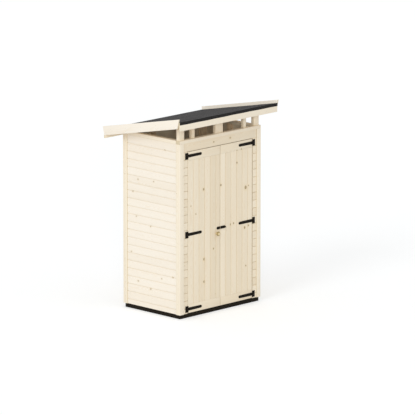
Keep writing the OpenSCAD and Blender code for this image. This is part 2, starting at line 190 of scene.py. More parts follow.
# ---------------------------------------------------------------- materials
def pine(name, pale, late, knot=(0.25, 0.18, 0.09), ring=0.0034, contrast=0.55, wild=0.45, grey=0.08,
         rough=0.62, relief=0.25, sawn=0.0, knots=(), along=2, across=0, cad_axis=None, clear=1.0):
    """Softwood with growth rings, fibres and knots. wild is the share of places that may hold a small knot,
    knots are the large ones, as (along, across, radius) on the object, and clear is how plainly all of them
    show. cad_axis is the grain's axis on a CAD node."""
    g = Graph(name)
    place = g.place()
    if cad_axis is None:
        grain = g.attribute("grain", "Vector")
        tint = g.attribute("tint", "Fac")
    else:
        p = g.parts(place)
        order = [p[cad_axis]] + [p[i] for i in range(3) if i != cad_axis]
        grain = g.join(order[0], g.math("ADD", order[1], 0.013), g.math("ADD", order[2], 0.047))
        tint = g.noise(g.vec("MULTIPLY", place, (0.9, 0.9, 0.9)), 1.7, 0)
    u, v, w = g.parts(grain)

    # small knots at random places
    flat = g.join(u, v, 0.0)
    cells = g.tree.nodes.new("ShaderNodeTexVoronoi")
    cells.voronoi_dimensions = "2D"
    g.put(cells.inputs["Vector"], flat)
    cells.inputs["Scale"].default_value = 4.0
    chance, size, _ = g.parts(cells.outputs["Color"])
    radius = g.math("MULTIPLY", g.math("LESS_THAN", chance, wild), g.remap(size, 0, 1, 0.0022, 0.0082))
    radius = g.math("MAXIMUM", radius, 0.00002)
    away = g.vec("MULTIPLY", g.vec("SUBTRACT", flat, cells.outputs["Position"]), (0.8, 1.0, 0.0))
    near = g.math("DIVIDE", g.vec("LENGTH", away, out=1), radius)
    side = g.parts(away)[1]
    push = g.math("DIVIDE", side, g.math("MULTIPLY_ADD", g.math("MULTIPLY", near, near), 0.45, 0.5))

    # the large knots
    for a, c, r in knots:
        scale, shift = [0.0] * 3, [0.0] * 3
        scale[along], scale[across] = 0.8 / r, 1 / r
        shift[along], shift[across] = -0.8 * a / r, -c / r
        q = g.vec("MULTIPLY_ADD", place, scale, shift)
        far = g.vec("LENGTH", q, out=1)
        near = g.math("MINIMUM", near, far)
        sideways = g.parts(q)[across]
        spread = g.math("MULTIPLY_ADD", g.math("MULTIPLY", far, far), 0.45, 0.5)
        bend = g.math("DIVIDE", sideways, spread)
        push = g.math("MULTIPLY_ADD", bend, r, push)

    # growth rings, bent round the knots
    slow = g.noise(g.join(u, g.math("MULTIPLY", v, 2.0), w), 1.3, 1, out="Color")
    wander = g.parts(slow)
    ring_v = g.math("SUBTRACT", g.math("MULTIPLY_ADD", wander[0], 0.10, g.math("SUBTRACT", v, 0.05)), push)
    ring_w = g.math("MULTIPLY_ADD", wander[1], 0.12, g.math("SUBTRACT", w, 0.06))
    reach = g.vec("LENGTH", g.join(ring_v, ring_w, 0.0), out=1)
    wobble = g.noise(g.vec("MULTIPLY", grain, (6, 40, 40)), 1.0, 2)
    count = g.math("ADD", g.math("DIVIDE", reach, ring), g.math("MULTIPLY", wobble, 0.7))
    band = g.ramp(g.math("FRACT", count), (0, 0.05), (0.45, 0.14), (0.80, 0.72), (0.90, 1.0), (0.97, 0.25),
                  (1, 0.05))
    strength = g.remap(g.noise(g.vec("MULTIPLY", grain, (1.6, 14, 14)), 1.0, 2), 0.3, 0.75, 0.25, 1.0)
    band = g.math("MULTIPLY", band, g.math("MULTIPLY", strength, contrast))

    fibre = g.noise(g.vec("MULTIPLY", grain, (14, 900, 900)), 1.0, 3, 0.6)
    blotch = g.noise(g.vec("MULTIPLY", grain, (2.2, 9, 9)), 1.0, 3)
    wood = g.mix(band, pale, late)
    wood = g.mix(g.remap(fibre, 0.35, 0.8, 0.0, 0.16), wood, late)
    between = tuple(0.55 * a + 0.45 * b for a, b in zip(pale, late))
    wood = g.mix(g.remap(blotch, 0.35, 0.8, 0.0, 0.30), wood, between)
    level = g.remap(tint, 0, 1, 1 - grey, 1.0)
    toned = g.join(level, g.math("POWER", level, 1.25), g.math("POWER", level, 1.7))
    wood = g.mix(1.0, wood, toned, "MULTIPLY")

    # knots: a warm halo, a dark rim and a brown core with its own rings
    ragged = g.math("MULTIPLY_ADD", g.noise(place, 260, 2), 0.34, g.math("SUBTRACT", near, 0.17))
    halo = g.remap(ragged, 3.0, 0.9, 0.0, 0.38 * clear, smooth=True)
    core = g.remap(ragged, 1.12, 0.88, 0.0, clear, smooth=True)
    rim = g.ramp(g.remap(ragged, 0, 1.4), (0, 0.55), (0.2, 0.2), (0.34, 0.45), (0.5, 0.25), (0.66, 1.0),
                 (0.78, 0.9), (0.9, 0))
    wood = g.mix(halo, wood, (0.80, 0.64, 0.38))
    heart = g.mix(rim, (0.55, 0.43, 0.25), knot)
    wood = g.mix(core, wood, heart)

    # painted shade in the joints and on hidden edges, and sawn ends darker as end grain is
    if cad_axis is None:
        end_grain_and_painted_shade = g.mix(1.0, wood, (0.72, 0.67, 0.53), "MULTIPLY")
        wood = g.mix(g.attribute("joint", "Fac"), wood, end_grain_and_painted_shade)

    height = g.math("MULTIPLY_ADD", fibre, 0.5, g.math("MULTIPLY", band, 0.7))
    if sawn:
        marks = g.noise(g.vec("MULTIPLY", grain, (420, 22, 22)), 1.0, 2)
        height = g.math("MULTIPLY_ADD", marks, sawn, height)
    g.shader(Base_Color=wood, Roughness=g.remap(fibre, 0.3, 0.8, rough - 0.06, rough + 0.12),
             Specular_IOR_Level=0.3, Normal=g.bump(height, relief, 0.0006))
    return g.mat


def knob_wood(centre, radius):
    """Turned wood with a pale end and a browner side. centre is its middle across the door."""
    g = Graph("knob_wood")
    place = g.place()
    p = g.vec("MULTIPLY", g.vec("SUBTRACT", place, (centre.x, 0, centre.z)), (1, 0, 1))
    out = g.math("DIVIDE", g.vec("LENGTH", p, out=1), radius)
    fibre = g.noise(g.vec("MULTIPLY", place, (700, 60, 240)), 1.0, 3, 0.6)
    rings = g.math("FRACT", g.math("MULTIPLY", g.math("ADD", out, g.math("MULTIPLY", fibre, 0.1)), 9.0))
    body = g.mix(g.remap(out, 0.42, 0.78, smooth=True), (0.85, 0.72, 0.43), (0.34, 0.25, 0.09))
    body = g.mix(g.ramp(rings, (0, 0.0), (0.6, 0.08), (0.85, 0.32), (1, 0)), body, (0.38, 0.22, 0.09))
    body = g.mix(g.remap(fibre, 0.4, 0.8, 0, 0.3), body, (0.45, 0.28, 0.12))
    g.shader(Base_Color=body, Roughness=g.remap(fibre, 0.3, 0.8, 0.34, 0.5),
             Normal=g.bump(fibre, 0.12, 0.0004))
    return g.mat


def dark_timber():
    """Treated timber, nearly black, with saw marks."""
    g = Graph("dark_timber")
    grain = g.attribute("grain", "Vector")
    streak = g.noise(g.vec("MULTIPLY", grain, (9, 420, 420)), 1.0, 4, 0.65)
    patch = g.noise(g.vec("MULTIPLY", grain, (5, 25, 25)), 1.0, 3)
    colour = g.mix(g.remap(streak, 0.35, 0.8), (0.008, 0.006, 0.0035), (0.019, 0.0145, 0.009))
    colour = g.mix(g.remap(patch, 0.45, 0.8, 0.0, 0.5), colour, (0.024, 0.019, 0.012))
    saw = g.noise(g.vec("MULTIPLY", grain, (380, 30, 30)), 1.0, 2)
    g.shader(Base_Color=colour, Roughness=g.remap(streak, 0.3, 0.8, 0.72, 0.9), Specular_IOR_Level=0.12,
             Normal=g.bump(g.math("MULTIPLY_ADD", saw, 0.6, streak), 0.5, 0.0008))
    return g.mat


def black_iron():
    """Black painted iron with a little dust."""
    g = Graph("black_iron")
    place = g.place()
    fine = g.noise(place, 900, 3, 0.6)
    cloud = g.noise(place, 60, 3)
    colour = g.mix(g.remap(cloud, 0.3, 0.75), (0.0065, 0.0045, 0.0025), (0.012, 0.009, 0.0055))
    colour = g.mix(g.remap(fine, 0.62, 0.8, 0.0, 0.35), colour, (0.024, 0.019, 0.014))
    g.shader(Base_Color=colour, Roughness=g.remap(cloud, 0.3, 0.8, 0.46, 0.62), Specular_IOR_Level=0.09,
             Normal=g.bump(fine, 0.25, 0.0003))
    return g.mat


def felt(name, level):
    """Mineral felt. level scales its colour: the turned-down edge is darker, a painted shade on its upright
    faces.
    """
    def tone(*colour):
        return tuple(level * c for c in colour)

    g = Graph(name)
    place = g.place()
    speck = g.noise(place, 620, 2, 0.7)
    grit = g.tree.nodes.new("ShaderNodeTexVoronoi")
    g.put(grit.inputs["Vector"], place)
    grit.inputs["Scale"].default_value = 780
    chip = g.parts(grit.outputs["Color"])[0]
    cloud = g.noise(g.vec("MULTIPLY", place, (1.5, 4, 4)), 1.0, 3)
    colour = g.mix(chip, tone(0.021, 0.020, 0.020), tone(0.100, 0.095, 0.094))
    colour = g.mix(g.remap(speck, 0.4, 0.75, 0.0, 0.7), colour, tone(0.040, 0.038, 0.038))
    colour = g.mix(g.remap(cloud, 0.35, 0.75, 0.0, 0.35), colour, tone(0.030, 0.029, 0.029))
    height = g.math("SUBTRACT", 1.0, grit.outputs["Distance"])
    g.shader(Base_Color=colour, Roughness=g.remap(speck, 0.3, 0.8, 0.82, 0.96), Specular_IOR_Level=0.1,
             Normal=g.bump(height, 0.6, 0.0007))
    return g.mat


def steel():
    """Bright steel of the nails and of the screws behind the doors."""
    g = Graph("nail_steel")
    place = g.place()
    cloud = g.noise(place, 300, 3)
    colour = g.mix(g.remap(cloud, 0.3, 0.8), (0.42, 0.41, 0.39), (0.62, 0.61, 0.59))
    g.shader(Base_Color=colour, Metallic=0.9, Roughness=g.remap(cloud, 0.3, 0.8, 0.35, 0.55))
    return g.mat


# ---------------------------------------------------------------- geometry
def plain_frame(axis, low, high):
    """Axes of a plank: along its grain, across its wider side and across its narrower side."""
    rest = sorted((i for i in range(3) if i != axis), key=lambda i: low[i] - high[i])
    return AXES[axis], AXES[rest[0]], AXES[rest[1]]


class Timber:
    """Planks gathered in one mesh. Each keeps its place in its own tree in the attribute grain."""

    def __init__(self, name):
        self.name = name
        self.bm = bmesh.new()
        self.grain = self.bm.verts.layers.float_vector.new("grain")
        self.tint = self.bm.verts.layers.float.new("tint")
        # painted shade of each face, and the darker tone of sawn ends
        self.joint = self.bm.faces.layers.float.new("joint")

    def take(self, bm, axes, tint=None, shade=None):
        """Adds a finished plank, whose own bmesh is used up. shade(face) is how much painted shade a face
        gets, and sawn ends get the darker tone of end grain.
        """
        bm.normal_update()
        middle = sum((v.co for v in bm.verts), Vector()) / len(bm.verts)
        lift = rng.choice((-1, 1)) * rng.uniform(0.02, 0.075)
        shift = Vector((rng.uniform(1, 40), rng.uniform(-0.035, 0.035), lift))
        tone = rng.random() if tint is None else tint
        made = {}
        for v in bm.verts:
            n = self.bm.verts.new(v.co)
            d = v.co - middle
            n[self.grain] = Vector([d.dot(a) for a in axes]) + shift
            n[self.tint] = tone
            made[v] = n
        for f in bm.faces:
            new = self.bm.faces.new([made[v] for v in f.verts])
            if abs(f.normal.dot(axes[0])) > 0.9:
                new[self.joint] = END_GRAIN
            elif shade:
                new[self.joint] = shade(f)
        bm.free()

    def prism(self, outline, axis, low, high, axes, ease=0.0012, tint=None, shade=None):
        """Plank with a closed outline in the two other axes, drawn along an axis, with eased edges."""
        a, b = [i for i in range(3) if i != axis]
        bm = bmesh.new()
        rings = []
        for end in (low, high):
            ring = []
            for p in outline:
                co = [0.0, 0.0, 0.0]
                co[axis], co[a], co[b] = end, p[0], p[1]
                ring.append(bm.verts.new(co))
            rings.append(ring)
        n = len(outline)
        for first, second in zip(rings, rings[1:]):
            for i in range(n):
                j = (i + 1) % n
                bm.faces.new((first[i], first[j], second[j], second[i]))
        bm.faces.new(rings[0])
        bm.faces.new(rings[-1])
        bmesh.ops.recalc_face_normals(bm, faces=bm.faces)
        if ease:
            sharp = [e for e in bm.edges if len(e.link_faces) == 2 and e.calc_face_angle(0) > 0.3]
            bmesh.ops.bevel(bm, geom=sharp, offset=ease, segments=2, profile=0.6, affect="EDGES",
                            clamp_overlap=True)
        self.take(bm, axes, tint, shade)

    def block(self, low, high, axis, ease=0.0015, tint=None, edges=(0.0, 0.0)):
        """Square-edged plank. edges are the painted shades of its lower and upper narrow side."""
        a, b = [i for i in range(3) if i != axis]
        outline = [(low[a], low[b]), (high[a], low[b]), (high[a], high[b]), (low[a], high[b])]
        axes = plain_frame(axis, low, high)

        def shade(f):
            sideways = f.normal.dot(axes[1])
            return edges[sideways > 0] if abs(sideways) > 0.9 else 0.0

        self.prism(outline, axis, low[axis], high[axis], axes, ease, tint, shade)

    def matched(self, run, low, high, wide, w0, w1, face, back, tongue=True, groove=True, tint=None, v=0.0048,
                joint=0.0013, outer=1.0):
        """Tongue and groove board with V edges of depth v, standing joint clear of the seam. It runs along
        axis run from low to high, is w0 to w1 wide along axis wide, and lies between its face and back on
        the third axis. outer is the painted shade of an edge with neither tongue nor groove, and the V's
        slopes and the tongue in the open joint get painted shade too."""
        t = back - face
        first = w0 + (joint if groove else PLAIN_GAP)
        last = w1 - (joint if tongue else PLAIN_GAP)
        pts = [(first, back)]
        if groove:
            near, far = (face + share * t for share in GROOVE)
            deep = w0 + GROOVE_DEPTH
            pts += [(first, far), (deep, far), (deep, near), (first, near)]
        d = math.copysign(v, t)
        pts += [(first, face + d), (first + v, face), (last - v, face), (last, face + d)]
        if tongue:
            near, far = (face + share * t for share in TONGUE)
            reach = w1 + TONGUE_REACH
            pts += [(last, near), (reach, near), (reach, far), (last, far)]
        pts += [(last, back)]
        thin = 3 - run - wide
        if wide > thin:
            pts = [(q, p) for p, q in pts]
        plain = [at for at, cut in ((first, groove), (last, tongue)) if not cut]

        def shade(f):
            middle = f.calc_center_median()
            depth = (middle[thin] - face) / t
            if depth < 0.02 or depth > 0.98:
                return 0.0
            if any(abs(middle[wide] - at) < 1e-5 for at in plain):
                return outer
            straight = abs(f.normal[wide]) > 0.9 or abs(f.normal[thin]) > 0.9
            return JOINT if straight else V_FACE * JOINT

        self.prism(pts, run, low, high, (AXES[run], AXES[wide], AXES[thin]), 0, tint, shade)

    def build(self, body, slot, material, *nodes):
        mesh = bpy.data.meshes.new(self.name)
        bmesh.ops.recalc_face_normals(self.bm, faces=self.bm.faces)
        self.bm.to_mesh(mesh)
        self.bm.free()
        return finish_piece(self.name, mesh, body, material, nodes)


def finish_piece(name, mesh, body, material, nodes=(), angle=38):
    """Puts a mesh in the scene on its body, in place of nodes. Edges sharper than angle stay sharp."""
    mesh.materials.append(material)
    mesh.polygons.foreach_set("use_smooth", [True] * len(mesh.polygons))
    mesh.set_sharp_from_angle(angle=math.radians(angle))
    o = bpy.data.objects.new(name, mesh)
    bpy.context.scene.collection.objects.link(o)
    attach(o, body)
    if nodes:
        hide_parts(*nodes)
    return o


def turn(bm, profile, centre, axis, segments=12, seed=0.0):
    """Closed body turned about axis: profile is (radius, height) pairs from the middle of the top outward."""
    axis = axis.normalized()
    one = axis.orthogonal().normalized()
    two = axis.cross(one)
    rings = []
    for r, h in profile:
        if r < 1e-7:
            rings.append([bm.verts.new(centre + axis * h)])
            continue
        ring = []
        for k in range(segments):
            a = seed + 2 * math.pi * k / segments
            ring.append(bm.verts.new(centre + axis * h + (one * math.cos(a) + two * math.sin(a)) * r))
        rings.append(ring)
    for top, low in zip(rings, rings[1:]):
        for k in range(segments):
            j = (k + 1) % segments
            corners = [top[k % len(top)], low[k % len(low)], low[j % len(low)], top[j % len(top)]]
            unique = list(dict.fromkeys(corners))
            if len(unique) > 2:
                bm.faces.new(unique)
    if len(rings[-1]) > 1:
        bm.faces.new(rings[-1])


def heads(name, places, radius, height, body, material, recess=True, segments=12):
    """Screw or nail heads in one mesh. places are (point on the surface, outward direction)."""
    bm = bmesh.new()
    for point, out in places:
        rim = [(radius * 0.72, height * 0.9), (radius * 0.93, height * 0.55), (radius, height * 0.15),
               (radius, -0.0004)]
        hole = [(0, height * 0.35), (radius * 0.26, height * 0.4), (radius * 0.34, height)]
        middle = hole if recess else [(0, height)]
        turn(bm, middle + rim, Vector(point), Vector(out), segments, rng.uniform(0, 6))
    bmesh.ops.recalc_face_normals(bm, faces=bm.faces)
    mesh = bpy.data.meshes.new(name)
    bm.to_mesh(mesh)
    bm.free()
    return finish_piece(name, mesh, body, material, (), 50)


def courses(bottom, top):
    """Lower and upper edge of each horizontal board of a wall."""
    edges = [bottom]
    z = FIRST_COURSE
    while z < top - 0.04:
        if z > bottom + 0.01:
            edges.append(z)
        z += COVER
    if top - edges[-1] > COVER * 1.3:
        edges.append(edges[-1] + COVER)
    return list(zip(edges, edges[1:] + [top]))


# ---------------------------------------------------------------- the materials in use
PALE, LATE = (0.93, 0.85, 0.70), (0.80, 0.61, 0.385)
left_knots = [(0.21, 1.455, 0.009), (-0.03, 1.465, 0.008), (0.29, 1.31, 0.009), (0.02, 0.96, 0.008),
              (-0.32, 0.45, 0.009), (0.21, 0.325, 0.010), (0.02, 0.265, 0.010), (-0.20, 1.84, 0.007)]
door_left_knots = [(1.385, -0.255, 0.010), (1.13, -0.375, 0.006), (1.23, -0.45, 0.005), (0.61, -0.25, 0.011),
                   (0.36, -0.25, 0.010)]
door_right_knots = [(1.305, 0.395, 0.015), (1.32, 0.44, 0.006), (1.60, 0.26, 0.008), (1.39, 0.012, 0.009),
                    (0.93, 0.16, 0.008), (0.935, 0.207, 0.008), (0.86, 0.38, 0.011), (0.875, 0.44, 0.008),
                    (0.43, 0.40, 0.007), (1.738, 0.26, 0.005), (1.742, 0.327, 0.006)]
header_knots = [(-0.10, 1.885, 0.009), (0.155, 1.893, 0.010)]
# pine of the left wall and the barges, paler and bluer than the rest: painted light for the strong cool light
# on the left face
MAT_SIDE_PAINTED_LIGHT = pine("pine_side_painted_light", (0.945, 0.89, 0.80), (0.84, 0.69, 0.50), knots=left_knots, along=1, across=2,
                wild=0.04, grey=0.03, clear=0.5)
MAT_WALL = pine("pine_wall", PALE, LATE, wild=0.3)
MAT_HEADER = pine("pine_header", PALE, LATE, knots=header_knots, along=0, across=2, wild=0.04, clear=0.75)
MAT_DOOR_L = pine("pine_door_left", PALE, LATE, knots=door_left_knots, along=2, across=0, wild=0.05)
MAT_DOOR_R = pine("pine_door_right", PALE, LATE, knots=door_right_knots, along=2, across=0, wild=0.05)
MAT_TRIM = pine("pine_trim", (0.94, 0.87, 0.735), (0.80, 0.62, 0.40), contrast=0.45, wild=0.12, rough=0.58)
SAWN = {"contrast": 0.55, "wild": 0.4, "rough": 0.74, "relief": 0.5, "sawn": 0.7}
MAT_FRAME = pine("frame_timber", (0.92, 0.755, 0.555), (0.74, 0.49, 0.26), **SAWN)
MAT_RAFTER = pine("frame_timber_along", (0.92, 0.755, 0.555), (0.74, 0.49, 0.26), cad_axis=1, **SAWN)
MAT_DARK = dark_timber()
MAT_IRON = black_iron()
# the darker felt is painted shade for the upright faces of the turned-down edges
MAT_FELT, MAT_EDGE_PAINTED_SHADE = felt("roof_felt", 1.15), felt("roof_felt_edge_painted_shade", 0.46)
MAT_STEEL = steel()


# ---------------------------------------------------------------- base and floor
for name in ("base_rail_front", "base_rail_back", "base_rail_left", "base_rail_right", "base_joist"):
    lo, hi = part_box(name)
    t = Timber(name + "_timber")
    t.block(lo, hi, 0 if hi.x - lo.x > hi.y - lo.y else 1, ease=0.0025)
    t.build("shed", "dark_timber", MAT_DARK, name)

lo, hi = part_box("floor")
post_lo, post_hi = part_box("corner_posts")
seam = 0.0004
t = Timber("floor_boards")
step = (hi.y - lo.y) / FLOOR_ROWS
for k in range(FLOOR_ROWS):
    y0, y1 = lo.y + step * k, lo.y + step * (k + 1)
    if k in (0, FLOOR_ROWS - 1):
        # the outer boards are notched for the corner posts
        notch_y = post_lo.y + POST_D if k == 0 else post_hi.y - POST_D
        edge, other = (y0, y1) if k == 0 else (y1, y0)
        inner = other - math.copysign(seam, other - edge)
        n = post_hi.x - POST_W
        outline = [(-n, edge), (n, edge), (n, notch_y), (hi.x, notch_y), (hi.x, inner),
                   (lo.x, inner), (lo.x, notch_y), (-n, notch_y)]
        t.prism(outline, 2, lo.z, hi.z, (X, Y, Z), 0.0006)
    else:
        t.block(Vector((lo.x, y0 + seam, lo.z)), Vector((hi.x, y1 - seam, hi.z)), 0, ease=0.0008)
t.build("shed", "frame_timber", MAT_FRAME, "floor")

# ---------------------------------------------------------------- wall frame
t = Timber("corner_posts_timber")
for sx in (-1, 1):
    for sy in (-1, 1):
        x0, x1 = sorted((sx * post_hi.x, sx * (post_hi.x - POST_W)))
        y0, y1 = sorted((sy * post_hi.y, sy * (post_hi.y - POST_D)))
        t.block(Vector((x0, y0, post_lo.z)), Vector((x1, y1, post_hi.z)), 2, ease=0.0022)
t.build("shed", "frame_timber", MAT_FRAME, "corner_posts")

lo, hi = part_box("wall_studs")
t = Timber("wall_studs_timber")
for s in (-1, 1):
    x0, x1 = sorted((s * hi.x, s * (hi.x - POST_D)))
    t.block(Vector((x0, -STUD_W / 2, lo.z)), Vector((x1, STUD_W / 2, hi.z)), 2, ease=0.002)
    x0, x1 = s * STUD_X - STUD_W / 2, s * STUD_X + STUD_W / 2
    t.block(Vector((x0, hi.y - POST_D, lo.z)), Vector((x1, hi.y, hi.z)), 2, ease=0.002)
t.build("shed", "frame_timber", MAT_FRAME, "wall_studs")

for name in ("door_head_beam", "roof_beam"):
    lo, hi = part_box(name)
    t = Timber(name + "_timber")
    t.block(lo, hi, 0, ease=0.002)
    t.build("shed", "frame_timber", MAT_FRAME, name)

# ---------------------------------------------------------------- cladding
# rows of nails: beside the trims and over the studs on the walls, then along the header and on the strips.
# The outer rows of the side walls have no timber behind them.
SIDE_NAILS, BACK_NAILS = (-0.34, 0.0, 0.34), (-0.535, -STUD_X, STUD_X, 0.535)
HEADER_NAILS, STRIP_NAIL = (-0.52, -0.3, 0.0, 0.3, 0.52), 0.547
nails = []
for name, material, run, side in (("left_wall", MAT_SIDE_PAINTED_LIGHT, 1, -1), ("right_wall", MAT_WALL, 1, 1),
                                  ("back_wall", MAT_WALL, 0, 1)):
    lo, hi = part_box(name)
    thin = 1 - run
    face, back = (lo[thin], hi[thin]) if side < 0 else (hi[thin], lo[thin])
    t = Timber(name + "_boards")
    boards = courses(lo.z, hi.z)
    for k, (z0, z1) in enumerate(boards):
        t.matched(run, lo[run], hi[run], 2, z0, z1, face, back, tongue=k < len(boards) - 1, groove=k > 0)
        for at in SIDE_NAILS if run == 1 else BACK_NAILS:
            for dz in (0.25, 0.75):
                p = [0.0, 0.0, z0 + (z1 - z0) * dz + rng.uniform(-0.003, 0.003)]
                p[run], p[thin] = at + rng.uniform(-0.003, 0.003), face
                out = [0.0, 0.0, 0.0]
                out[thin] = side
                nails.append((p, out))
    t.build("shed", "pine_cladding", material, name)

for name, s in (("front_boards_left", -1), ("front_boards_right", 1)):
    lo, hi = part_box(name)
    t = Timber(name + "_boards")
    for k, (z0, z1) in enumerate(courses(lo.z, hi.z)):
        t.matched(0, lo.x, hi.x, 2, z0, z1, lo.y, hi.y, tongue=False, groove=k > 0)
        nails.append(((s * STRIP_NAIL, lo.y, (z0 + z1) / 2 + rng.uniform(-0.004, 0.004)), (0, -1, 0)))
    t.build("shed", "pine_cladding", MAT_WALL, name)

lo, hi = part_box("front_header")
t = Timber("front_header_board")
t.block(lo, hi, 0, ease=0.003)
t.build("shed", "pine_cladding", MAT_HEADER, "front_header")
for x in HEADER_NAILS:
    for z in (0.25, 0.75):
        nails.append(((x + rng.uniform(-0.004, 0.004), lo.y, lo.z + (hi.z - lo.z) * z), (0, -1, 0)))

# ---------------------------------------------------------------- corner trims, one board on each face
for name, sx, sy in (("corner_trim_front_left", -1, -1), ("corner_trim_front_right", 1, -1),
                     ("corner_trim_back_left", -1, 1), ("corner_trim_back_right", 1, 1)):
    lo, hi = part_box(name)
    t = Timber(name + "_boards")
    out_x, in_x = (lo.x, hi.x) if sx < 0 else (hi.x, lo.x)
    out_y, in_y = (lo.y, hi.y) if sy < 0 else (hi.y, lo.y)
    corners = ((sx, (out_x, out_y, lo.z), (in_x, out_y - sy * TRIM_T, hi.z)),
               (sy, (out_x, out_y - sy * (TRIM_T + TRIM_GAP), lo.z), (out_x - sx * TRIM_T, in_y, hi.z)))
    for side, a, b in corners:
        # painted shade on each trim board's inner edge, beside the boards
        edges = (EDGE, 0.0) if side > 0 else (0.0, EDGE)
        t.block(Vector(map(min, a, b)), Vector(map(max, a, b)), 2, ease=0.0025, edges=edges)
    t.build("shed", "pine_trim", MAT_TRIM, name)
    for k in range(TRIM_NAILS):
        z = lo.z + TRIM_END + (hi.z - lo.z - 2 * TRIM_END) * k / (TRIM_NAILS - 1)
        nails.append(((out_x - sx * 0.031, out_y, z), (0, sy, 0)))
        nails.append(((out_x, out_y - sy * 0.04, z + 0.02), (sx, 0, 0)))

# ---------------------------------------------------------------- cap rails and vent posts
for name, axis in (("top_rail_front", 0), ("top_rail_back", 0), ("top_rail_left", 1), ("top_rail_right", 1)):
    lo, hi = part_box(name)
    t = Timber(name + "_timber")
    t.block(lo, hi, axis, ease=0.0022)
    t.build("shed", "pine_trim", MAT_TRIM, name)

lo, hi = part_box("vent_posts")
t = Timber("vent_posts_timber")
for mid, wide in VENT_POSTS:
    t.block(Vector((mid - wide / 2, lo.y, lo.z)), Vector((mid + wide / 2, hi.y, hi.z)), 2, ease=0.0018)
t.build("shed", "frame_timber", MAT_WALL, "vent_posts")

# ---------------------------------------------------------------- roof
deck_lo, deck_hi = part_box("roof_deck")
felt_lo, felt_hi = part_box("roof_felt")
top_front = felt_hi.z


def roof_z(y):
    return top_front - SLOPE * (y - felt_lo.y)


down = Vector((0, 1, -SLOPE)).normalized()
up_slope = Vector((0, SLOPE, 1)).normalized()
t = Timber("roof_deck_boards")
top, low, v = 0.0031, 0.018, 0.0022        # a board's two faces below the felt's top, and its V edge
half_gap = 0.0003
for k in range(DECK_ROWS):
    y0 = deck_lo.y + (deck_hi.y - deck_lo.y) * k / DECK_ROWS + half_gap
    y1 = deck_lo.y + (deck_hi.y - deck_lo.y) * (k + 1) / DECK_ROWS - half_gap
    outline = [(y0, roof_z(y0) - top), (y1, roof_z(y1) - top), (y1, roof_z(y1) - low + v),
               (y1 - v, roof_z(y1 - v) - low), (y0 + v, roof_z(y0 + v) - low), (y0, roof_z(y0) - low + v)]
    t.prism(outline, 0, deck_lo.x, deck_hi.x, (X, down, up_slope), 0)
t.build("shed", "frame_timber", MAT_FRAME, "roof_deck")

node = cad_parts["rafters"]
node.data.materials.clear()
node.data.materials.append(MAT_RAFTER)
bevel = node.modifiers.new("eased", "BEVEL")
bevel.width, bevel.segments = 0.0015, 2

# felt: sheets laid across the slope, lapped once, and turned down at the front and back
LAP = -0.296               # where the upper sheet ends over the lower one
LIP, THICK = 0.036, 0.003  # drop of the turned-down edge, and its thickness
SKIN = 0.001               # how far the edge stays inside the CAD piece
UPPER, LOWER = 0.0006, 0.0022   # the two sheets' faces below the CAD face
COLUMNS, ROW_STEP = 64, 0.022
bm = bmesh.new()
front, rear = felt_lo.y + SKIN, felt_hi.y - SKIN
ys = [front]
while ys[-1] < felt_hi.y - 0.03:
    ys.append(ys[-1] + ROW_STEP)
ys = sorted([y for y in ys if abs(y - LAP) > 0.012] + [LAP - 0.001, LAP + 0.001, rear])
inner_front, inner_rear = felt_lo.y + THICK, felt_hi.y - THICK
outline = [(inner_front, roof_z(felt_lo.y) - LIP), (front, roof_z(felt_lo.y) - LIP)]
outline += [(y, roof_z(y) - (UPPER if y < LAP else LOWER)) for y in ys]
outline += [(rear, roof_z(felt_hi.y) - LIP), (inner_rear, roof_z(felt_hi.y) - LIP),
            (inner_rear, roof_z(inner_rear) - THICK), (inner_front, roof_z(inner_front) - THICK)]
rings = []
for k in range(COLUMNS + 1):
    x = felt_lo.x + (felt_hi.x - felt_lo.x) * k / COLUMNS
    ring = []
    for i, (y, z) in enumerate(outline):
        # slight waves over the sheets and along the front edge
        dz = 0.0
        if 3 <= i <= len(ys):
            dz = 0.00045 * (math.sin(x * 9.1 + y * 3.3) + 0.7 * math.sin(x * 4.3 - y * 12.7 + 1.2) - 0.9)
        if i < 2:
            dz = 0.0008 * math.sin(x * 7.0 + 0.5) + 0.0006 * math.sin(x * 23.0) + 0.0012
        ring.append(bm.verts.new((x, y, z + dz)))
    rings.append(ring)
n = len(outline)
for first, second in zip(rings, rings[1:]):
    for i in range(n):
        bm.faces.new((first[i], first[(i + 1) % n], second[(i + 1) % n], second[i]))
bm.faces.new(rings[0])
bm.faces.new(rings[-1])
bmesh.ops.recalc_face_normals(bm, faces=bm.faces)
mesh = bpy.data.meshes.new("roof_felt_sheets")
bm.to_mesh(mesh)
bm.free()
finish_piece("roof_felt_sheets", mesh, "shed", MAT_FELT, ("roof_felt",))
# the upright faces of the turned-down edges take the darker felt, a painted shade
mesh.materials.append(MAT_EDGE_PAINTED_SHADE)
for f in mesh.polygons:
    f.material_index = 1 if abs(f.normal.y) > 0.8 else 0
CLOUTS, CLOUT_END, CLOUT_DROP = 14, 0.05, 0.018     # how many, from the side, and below the roof's edge
clouts = []
for k in range(CLOUTS):
    x = felt_lo.x + CLOUT_END + (felt_hi.x - felt_lo.x - 2 * CLOUT_END) * k / (CLOUTS - 1)
    clouts.append(((x, front, roof_z(felt_lo.y) - CLOUT_DROP), (0, -1, 0)))
    clouts.append(((x, rear, roof_z(felt_hi.y) - CLOUT_DROP), (0, 1, 0)))
    clouts.append(((x + 0.02, LAP - 0.03, roof_z(LAP - 0.03) - 0.0003), (0, SLOPE, 1)))
heads("roof_felt_clouts", clouts, 0.0045, 0.0009, "shed", MAT_IRON, recess=False)

